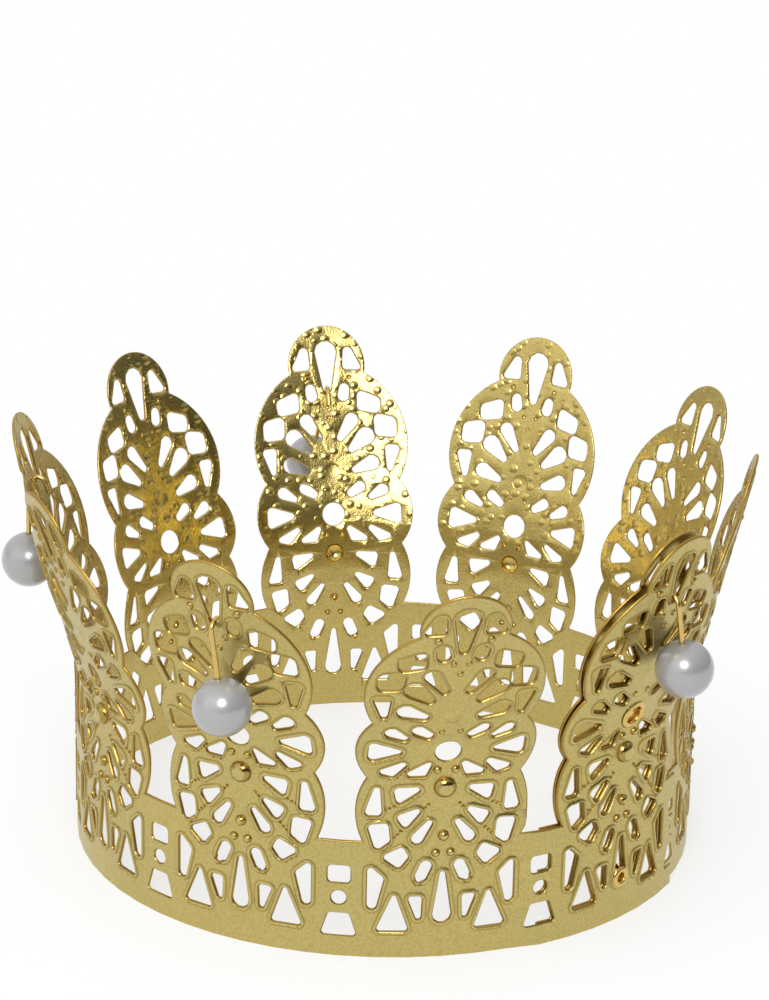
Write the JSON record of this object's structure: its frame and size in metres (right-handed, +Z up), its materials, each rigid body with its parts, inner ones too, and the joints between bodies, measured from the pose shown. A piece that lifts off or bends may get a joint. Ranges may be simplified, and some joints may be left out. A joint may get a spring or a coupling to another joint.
{
  "type": "filigree crown",
  "caption": "Small open crown of pierced gilt sheet metal: leaning filigree panels on a plain base ring, with imitation pearls that hang on wire hooks.",
  "frame": {"origin": "centre of the base ring, on the plane that the crown stands on", "axes": "+Z up along the ring's axis, -Y through the middle of the front panel, +X to the right as seen from the front"},
  "size_m": [0.1198, 0.1319, 0.0672],
  "materials": {
    "gilt_sheet": "satin gilt, lightly embossed",
    "gilt_wire": "polished gilt",
    "pearl": "pearlescent gloss"
  },
  "bodies": {
    "crown": {"crown_strip": "gilt_sheet", "eyelet_upper": "gilt_wire", "eyelet_lower": "gilt_wire"},
    "drop_front_left": {"pearl_front_left": "pearl", "pin_front_left": "gilt_wire"},
    "drop_left": {"pearl_left": "pearl", "pin_left": "gilt_wire"},
    "drop_back": {"pearl_back": "pearl", "pin_back": "gilt_wire"},
    "drop_front_right": {"pearl_front_right": "pearl", "pin_front_right": "gilt_wire"}
  },
  "joints": [
    {"name": "swing_front_left", "type": "hinge", "parent": "crown", "child": "drop_front_left", "pos_m": [-0.03418, -0.04705, 0.05431], "axis": [-0.809, 0.5878, 0], "range_deg": [-3, 14]},
    {"name": "swing_left", "type": "hinge", "parent": "crown", "child": "drop_left", "pos_m": [-0.05449, 0.0177, 0.05456], "axis": [0.309, 0.9511, 0], "range_deg": [-1.5, 14]},
    {"name": "swing_back", "type": "hinge", "parent": "crown", "child": "drop_back", "pos_m": [0, 0.05984, 0.05374], "axis": [1, 0, 0], "range_deg": [-7, 14]},
    {"name": "swing_front_right", "type": "hinge", "parent": "crown", "child": "drop_front_right", "pos_m": [0.03397, -0.04675, 0.05425], "axis": [-0.809, -0.5878, 0], "range_deg": [-2, 10]}
  ]
}
